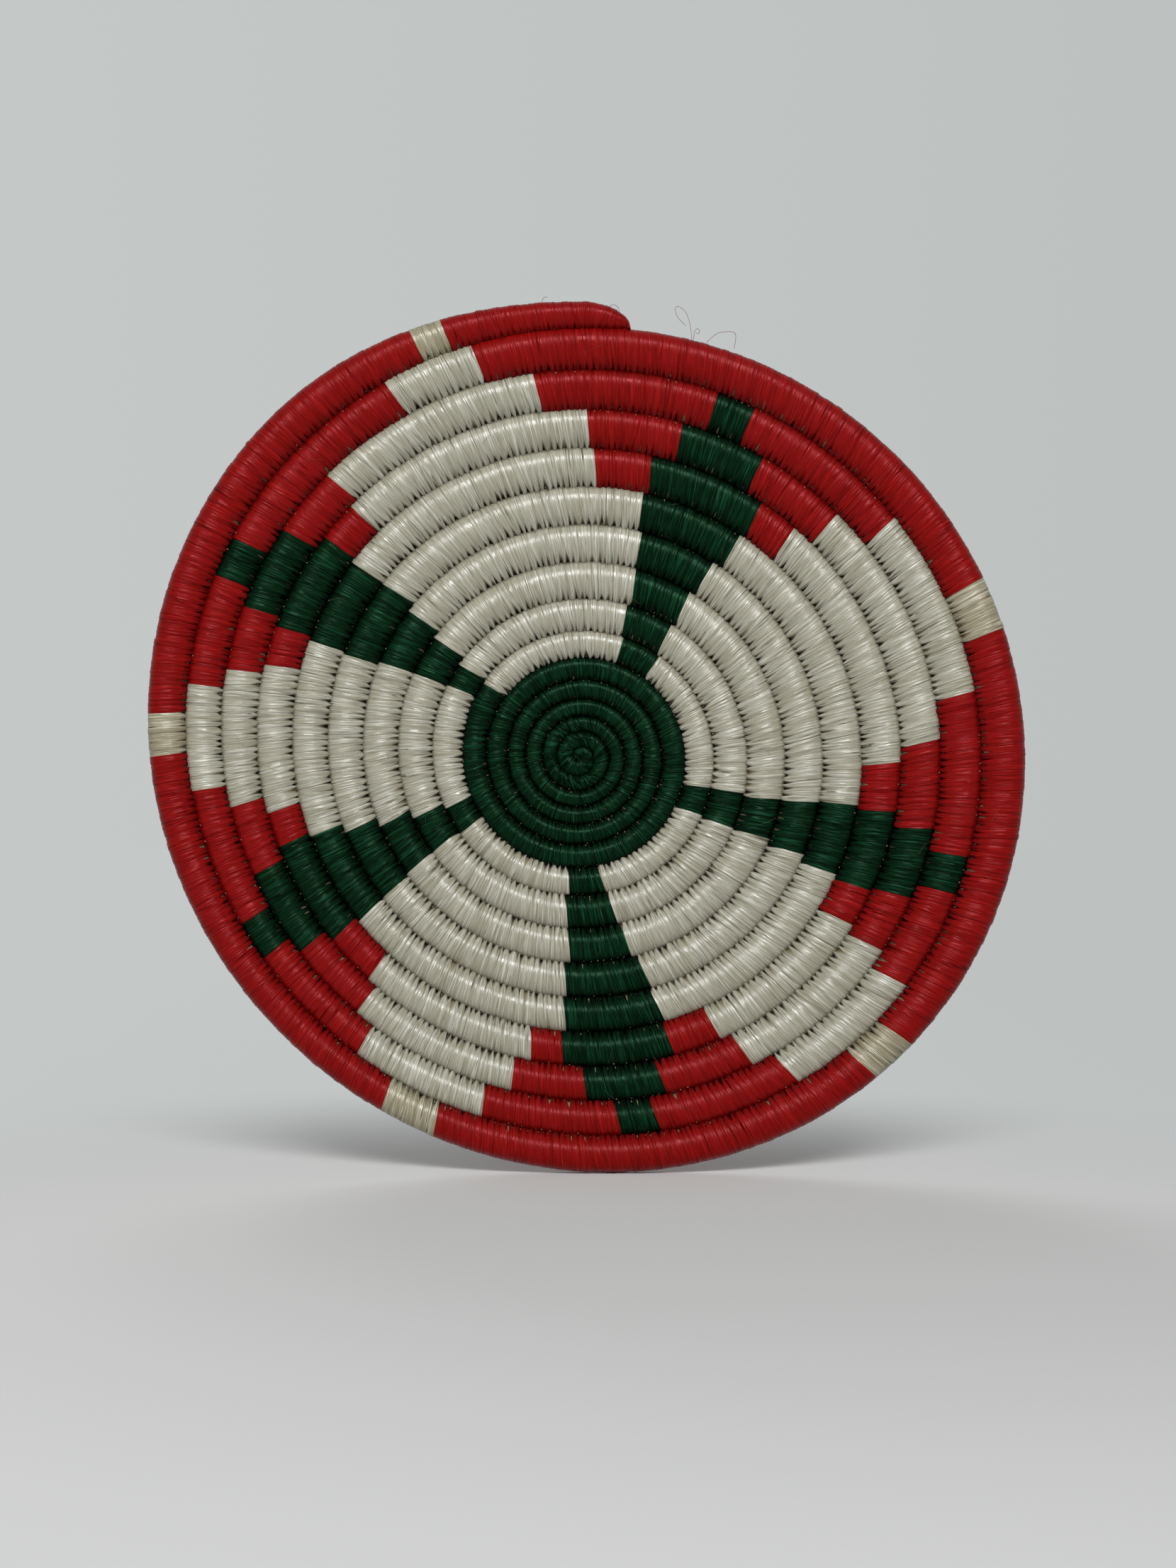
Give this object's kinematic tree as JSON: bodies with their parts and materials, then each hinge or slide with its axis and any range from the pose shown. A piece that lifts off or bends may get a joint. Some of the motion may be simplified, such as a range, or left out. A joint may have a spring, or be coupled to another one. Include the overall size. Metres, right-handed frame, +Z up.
{
  "type": "coiled wall basket",
  "caption": "Round shallow coiled basket to hang on a wall, a stitched star in green, white and red over one wound bundle.",
  "frame": {"origin": "middle of the coil, on the flat back that lies against the wall", "axes": "+X to the right and +Z up as it hangs, the hollow face towards -Y, +Y into the wall"},
  "size_m": [0.2991, 0.0225, 0.2971],
  "materials": {
    "bundle": "dry stalk bundle, matt",
    "green_raffia": "dyed raffia, satin",
    "white_raffia": "bleached raffia, satin",
    "red_raffia": "dyed raffia, satin",
    "cream_raffia": "natural raffia, satin"
  },
  "bodies": {
    "root": {"foundation_coil": "bundle", "heart_wrap": "green_raffia", "arm_1": "green_raffia", "arm_2": "green_raffia", "arm_3": "green_raffia", "arm_4": "green_raffia", "arm_5": "green_raffia", "petal_1": "white_raffia", "petal_2": "white_raffia", "petal_3": "white_raffia", "petal_4": "white_raffia", "petal_5": "white_raffia", "flank_1_before": "red_raffia", "flank_1_after": "red_raffia", "flank_2_before": "red_raffia", "flank_2_after": "red_raffia", "flank_3_before": "red_raffia", "flank_3_after": "red_raffia", "flank_4_before": "red_raffia", "flank_4_after": "red_raffia", "flank_5_before": "red_raffia", "flank_5_after": "red_raffia", "rim_red_1": "red_raffia", "rim_red_2": "red_raffia", "rim_red_3": "red_raffia", "rim_red_4": "red_raffia", "rim_red_5": "red_raffia", "rim_red_6": "red_raffia", "rim_cream_1": "cream_raffia", "rim_cream_2": "cream_raffia", "rim_cream_3": "cream_raffia", "rim_cream_4": "cream_raffia", "rim_cream_5": "cream_raffia"}
  },
  "joints": []
}
